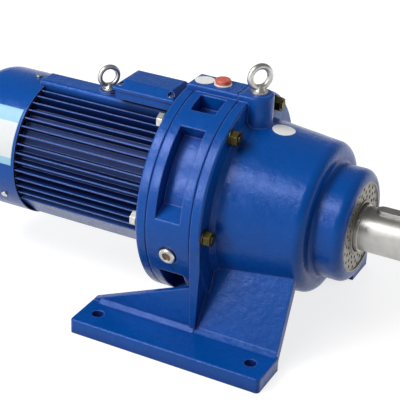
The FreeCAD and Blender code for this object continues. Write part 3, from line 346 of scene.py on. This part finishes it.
def vinyl(name, shade, soiled, bands=()):
    """Film or plate left bare: faint soiling, fine orange peel, and bands by their angles round the shaft."""
    mat, tree, bsdf = start(name, Specular_IOR_Level=0.3)
    where = place(tree)
    smudge = noise(tree, where, scale=70.0, detail=5.0, rough=0.6)
    colour = blend(tree, span(tree, smudge, 0.5, 0.85, 0.0, 0.8), shade, soiled)
    if bands:
        turn = angle_up(tree, where)
        tone = blend(tree, smudge, CYAN, scaled(CYAN, 0.9))
        for low, high in bands:
            above = span(tree, turn, low, low + BAND_FADE)
            below = span(tree, turn, high, high - BAND_FADE)
            colour = blend(tree, maths(tree, "MULTIPLY", above, below), colour, tone)
    peel = noise(tree, where, scale=500.0, detail=2.0)
    wire(tree, bsdf, colour, spread(tree, smudge, 0.3, 0.45), bump(tree, peel, depth=0.00006, strength=0.4))
    return mat


def oil_glass(name):
    """Sight glass with brown oil behind it."""
    mat, tree, bsdf = start(name, IOR=1.5, Transmission_Weight=0.35)
    depth = noise(tree, place(tree), scale=90.0, detail=3.0)
    wire(tree, bsdf, blend(tree, depth, OIL, THIN_OIL), spread(tree, depth, 0.08, 0.18))
    return mat


looks = {
    # edge colours of both enamels are partly worn paint and partly a painted highlight
    "gear_enamel": enamel("gear_enamel", BLUE, NAVY_SHADE, RUBBED_HIGHLIGHT, rub_highlight=0.6, reach=0.026, edge_size=0.0036),
    # the motor's painted shade is deeper still between the fins
    "motor_enamel": enamel("motor_enamel", BLUE, scaled(NAVY_SHADE, 0.3), BARE_HIGHLIGHT, rub_highlight=0.9, reach=0.05,
                           edge_size=0.0022, grain=0.6),
    "bright_zinc": plated("bright_zinc", ZINC, DULL_ZINC, 0.3, 0.45),
    "bolt_zinc": plated("bolt_zinc", ZINC, DULL_ZINC, 0.3, 0.45, tips=OLIVE),
    "yellow_zinc": plated("yellow_zinc", OLIVE, scaled(OLIVE, 0.55), 0.4, 0.55),
    "ground_steel": turned("ground_steel", (0.55, 0.535, 0.515), (0.41, 0.40, 0.38), 0.3, 0.44),
    "turned_steel": turned("turned_steel", (0.36, 0.34, 0.31), (0.24, 0.225, 0.20), 0.4, 0.55, pitch=300.0),
    "bearing_steel": turned("bearing_steel", (0.75, 0.75, 0.77), (0.62, 0.62, 0.65), 0.1, 0.2),
    "seal_rubber": moulded("seal_rubber", (0.018, 0.018, 0.018), (0.05, 0.045, 0.04), 0.5, 0.7),
    "sight_glass": oil_glass("sight_glass"),
    "copper_wire": wound("copper_wire", (0.62, 0.27, 0.12), (0.28, 0.10, 0.04)),
    "brass_stud": plated("brass_stud", (0.75, 0.55, 0.22), (0.55, 0.38, 0.14)),
    "cast_aluminium": plated("cast_aluminium", (0.72, 0.73, 0.74), (0.55, 0.56, 0.58), 0.35, 0.55),
    "grey_iron": plated("grey_iron", (0.24, 0.24, 0.25), (0.15, 0.15, 0.16), 0.5, 0.7),
    "core_steel": stacked("core_steel", (0.34, 0.34, 0.36), (0.14, 0.14, 0.15)),
    "black_plastic": moulded("black_plastic", (0.02, 0.02, 0.022), (0.07, 0.07, 0.07)),
    "board_plastic": moulded("board_plastic", (0.16, 0.06, 0.025), (0.22, 0.11, 0.06)),
    "gland_plastic": moulded("gland_plastic", (0.03, 0.03, 0.035), (0.08, 0.08, 0.08)),
}
own_looks = {"tie_bolts": "bolt_zinc", "tie_bolt_washers": "yellow_zinc"}


def dress_nodes():
    """Give each node the look of its material slot, or its own."""
    for part in frame["record"]["subparts"]:
        node = frame["nodes"][part["node"]]
        node.data.materials.clear()
        node.data.materials.append(looks[own_looks.get(part["node"], part["material_slot"])])


# Pieces

def added(name, data):
    """New object in the scene for a mesh, lamp or camera."""
    obj = bpy.data.objects.new(name, data)
    bpy.context.collection.objects.link(obj)
    return obj


def carried(name, points, faces, material, smooth=False):
    """Piece that stands still with the frame."""
    mesh = bpy.data.meshes.new(name)
    mesh.from_pydata(points, [], faces)
    if smooth:
        mesh.shade_smooth()
    mesh.materials.append(material)
    obj = added(name, mesh)
    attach(obj, "frame")


def walls(count, layers):
    """Faces between neighbouring loops of as many points each."""
    sides = [(i, (i + 1) % count) for i in range(count)]
    return [(k + i, k + j, k + count + j, k + count + i)
            for k in range(0, (layers - 1) * count, count) for i, j in sides]


def circle(radius, count):
    """Points of a circle about the origin."""
    turns = [2 * math.pi * i / count for i in range(count)]
    return [(radius * math.cos(t), radius * math.sin(t)) for t in turns]


# Filler plug on its washer, and the pad that crosses the motor's ring

def lofted(name, loops, material):
    """Closed piece from a stack of level loops, lowest first."""
    count = len(loops[0])
    points = [point for loop in loops for point in loop]
    bottom = tuple(reversed(range(count)))
    top = tuple(range(len(points) - count, len(points)))
    carried(name, points, [bottom] + walls(count, len(loops)) + [top], material)


def rounded(base, height, edge):
    """Inset and level of each loop of a wall with a rounded upper edge."""
    turns = [math.pi / 2 * i / BEND_STEPS for i in range(BEND_STEPS + 1)]
    return [(0.0, base)] + [(edge * (1 - math.cos(t)), height - edge * (1 - math.sin(t))) for t in turns]


def round_loop(x, radius, z):
    """Level circle about a place on the middle line."""
    return [(x + u, v, z) for u, v in circle(radius, ROUND_POINTS)]


def pad_loop(x0, x1, inset, z):
    """Level outline of the pad, drawn in on all sides but the one that closes the joint."""
    half = PAD_HALF - inset
    return [(x0 + inset, -half, z), (x1, -half, z), (x1, half, z), (x0 + inset, half, z)]


def top_pieces():
    """Pad over the motor's ring, washer and filler plug."""
    low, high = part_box("pin_gear_housing")
    joint, top, middle = low.x, high.z, (low.x + high.x) / 2
    seat = top + WASHER_HEIGHT
    pad = [pad_loop(joint - PAD_LENGTH, joint + PAD_EDGE, inset, z)
           for inset, z in rounded(top - PAD_DEPTH, top, PAD_EDGE)]
    washer = [round_loop(middle, WASHER_RADIUS - inset, z)
              for inset, z in rounded(top - SEAT, seat, WASHER_EDGE)]
    plug = [round_loop(middle, PLUG_RADIUS - inset, z)
            for inset, z in rounded(seat - SEAT, seat + PLUG_HEIGHT, PLUG_EDGE)]
    lofted("flange_pad", pad, looks["gear_enamel"])
    lofted("filler_washer", washer, moulded("white_nylon", NYLON, SOILED_NYLON, 0.4, 0.55))
    lofted("filler_plug", plug, moulded("red_plastic", RED, FADED_RED, 0.28, 0.42))
    bpy.context.view_layer.update()


# Bare stickers and plate

def panel(half_u, half_v):
    """Outline of a rectangle about the origin, with points spread evenly along each side."""
    corners = [(-half_u, -half_v), (half_u, -half_v), (half_u, half_v), (-half_u, half_v)]
    shares = [i / PANEL_STEPS for i in range(PANEL_STEPS)]
    return [(u0 + (u1 - u0) * share, v0 + (v1 - v0) * share)
            for (u0, v0), (u1, v1) in zip(corners, corners[1:] + corners[:1]) for share in shares]


def from_above(x, y):
    """Ray that falls on the object from above."""
    return Vector((x, y, 1.0)), Vector((0, 0, -1))


def from_near_side(x, up):
    """Ray towards the shaft axis, at an angle up from the near side."""
    out = Vector((0, -math.cos(up), math.sin(up)))
    return Vector((x, 0, AXIS_Z)) + out, -out


def stuck_on(name, centre, outline, ray, material):
    """Thin closed film laid on the object: an outline shrunk ring by ring to its centre, back and front."""
    scene, graph = bpy.context.scene, bpy.context.evaluated_depsgraph_get()
    inner = [(FILM_RINGS - i) / FILM_RINGS for i in range(1, FILM_RINGS)]
    layers = [(share, UNDER) for share in reversed(inner)]
    layers += [(1.0, UNDER), (1.0, FILM_WALL), (FILM_LIP, FILM)]
    layers += [(share, FILM) for share in inner]

    def laid(share, lift, u, v):
        origin, direction = ray(centre[0] + u * share, centre[1] + v * share)
        point, normal = scene.ray_cast(graph, origin, direction)[1:3]
        return point + normal * lift

    points = [laid(share, lift, u, v) for share, lift in layers for u, v in outline]
    count, back, front = len(outline), len(points), len(points) + 1
    last = back - count
    points += [laid(0.0, UNDER, 0.0, 0.0), laid(0.0, FILM, 0.0, 0.0)]
    faces = walls(count, len(layers))
    faces += [(back, (i + 1) % count, i) for i in range(count)]
    faces += [(last + i, last + (i + 1) % count, front) for i in range(count)]
    carried(name, points, faces, material, smooth=True)


def stickers():
    """Sticker on the pad, sticker on the barrel and plate on the fan cowl."""
    paper = vinyl("sticker_white", PAPER, SOILED_PAPER)
    pad_disc = circle(PAD_STICKER_RADIUS, STICKER_POINTS)
    barrel_disc = circle(BARREL_STICKER_RADIUS, STICKER_POINTS)
    stuck_on("pad_sticker", PAD_STICKER, pad_disc, from_above, paper)
    stuck_on("barrel_sticker", BARREL_STICKER, barrel_disc, from_above, paper)
    plate = vinyl("plate_white", PLATE, SOILED_PLATE, bands=(LOW_BAND, HIGH_BAND))
    stuck_on("cowl_plate", (PLATE_X, (PLATE_LOW + PLATE_HIGH) / 2),
             panel(PLATE_HALF, (PLATE_HIGH - PLATE_LOW) / 2), from_near_side, plate)


# Stage and light

def in_sight(tree):
    """One for rays from the camera, off gloss and through glass, nought for the rays that give light."""
    path = put(tree, "LightPath").outputs
    seen = path["Is Camera Ray"]
    for kind in ("Is Glossy Ray", "Is Transmission Ray"):
        seen = maths(tree, "MAXIMUM", seen, path[kind])
    return seen


def stage():
    """Pale floor that stays white in the picture and keeps a soft shadow."""
    s = FLOOR_SIZE
    mesh = bpy.data.meshes.new("floor")
    mesh.from_pydata([(-s, -s, 0), (s, -s, 0), (s, s, 0), (-s, s, 0)], [], [(0, 1, 2, 3)])
    mat, tree, bsdf = start("floor_white", Base_Color=FLOOR_GREY, Roughness=0.9, Specular_IOR_Level=0.0,
                            Emission_Color=WHITE)
    away = put(tree, "VectorMath", {0: place(tree)}, operation="LENGTH").outputs["Value"]
    glow = span(tree, away, *FLOOR_REACH, *FLOOR_SHOWN)
    tree.links.new(maths(tree, "MULTIPLY", in_sight(tree), glow), bsdf.inputs["Emission Strength"])
    mesh.materials.append(mat)
    floor = added("floor", mesh)
    floor.location.z = -FLOOR_DROP


def sky():
    """White surroundings up to a grey ceiling for the camera and gloss, a dim even light for the rest."""
    world = bpy.data.worlds.new("studio")
    bpy.context.scene.world = world
    world.use_nodes = True
    tree = world.node_tree
    rise = put(tree, "SeparateXYZ", {0: put(tree, "TexCoord").outputs["Generated"]}).outputs["Z"]
    white = span(tree, rise, *CEILING, 1.0, CEILING_GREY)
    back = tree.nodes["Background"]
    back.inputs["Color"].default_value = WHITE
    tree.links.new(between(tree, in_sight(tree), SKY_LIGHT, white), back.inputs["Strength"])


def outward(azimuth, elevation):
    """Direction from the object, turned from the near side and raised, in degrees."""
    a, e = math.radians(azimuth), math.radians(elevation)
    return Vector((math.sin(a) * math.cos(e), -math.cos(a) * math.cos(e), math.sin(e)))


def lamp(name, azimuth, elevation, distance, size, power, mirrored):
    """Soft square lamp aimed at the middle of the object, and whether gloss mirrors it."""
    back = outward(azimuth, elevation)
    data = bpy.data.lights.new(name, "AREA")
    data.shape = "RECTANGLE"
    data.size, data.size_y = size
    data.energy = power
    obj = added(name, data)
    obj.location = Vector(LAMP_AIM) + back * distance
    obj.rotation_mode = "QUATERNION"
    obj.rotation_quaternion = back.to_track_quat("Z", "Y")
    obj.visible_glossy = mirrored


def camera():
    """Camera at the photograph's angle."""
    back = outward(CAMERA_AZIMUTH, CAMERA_ELEVATION)
    right = outward(CAMERA_AZIMUTH + 90, 0)
    up = back.cross(right)
    side = right * math.cos(CAMERA_ROLL) + up * math.sin(CAMERA_ROLL)
    head = up * math.cos(CAMERA_ROLL) - right * math.sin(CAMERA_ROLL)
    data = bpy.data.cameras.new("camera")
    data.sensor_width = SENSOR_WIDTH
    data.lens = FOCAL_WIDTHS * SENSOR_WIDTH
    data.clip_start, data.clip_end = CLIP
    obj = added("camera", data)
    spin = Matrix((side, head, back)).transposed()
    obj.matrix_world = Matrix.Translation(CAMERA_PLACE) @ spin.to_4x4()
    bpy.context.scene.camera = obj


dress_nodes()
top_pieces()
stickers()
stage()
sky()
for lamp_name, settings in LAMPS.items():
    lamp(lamp_name, *settings)
camera()
bpy.context.scene.view_settings.view_transform = "Standard"
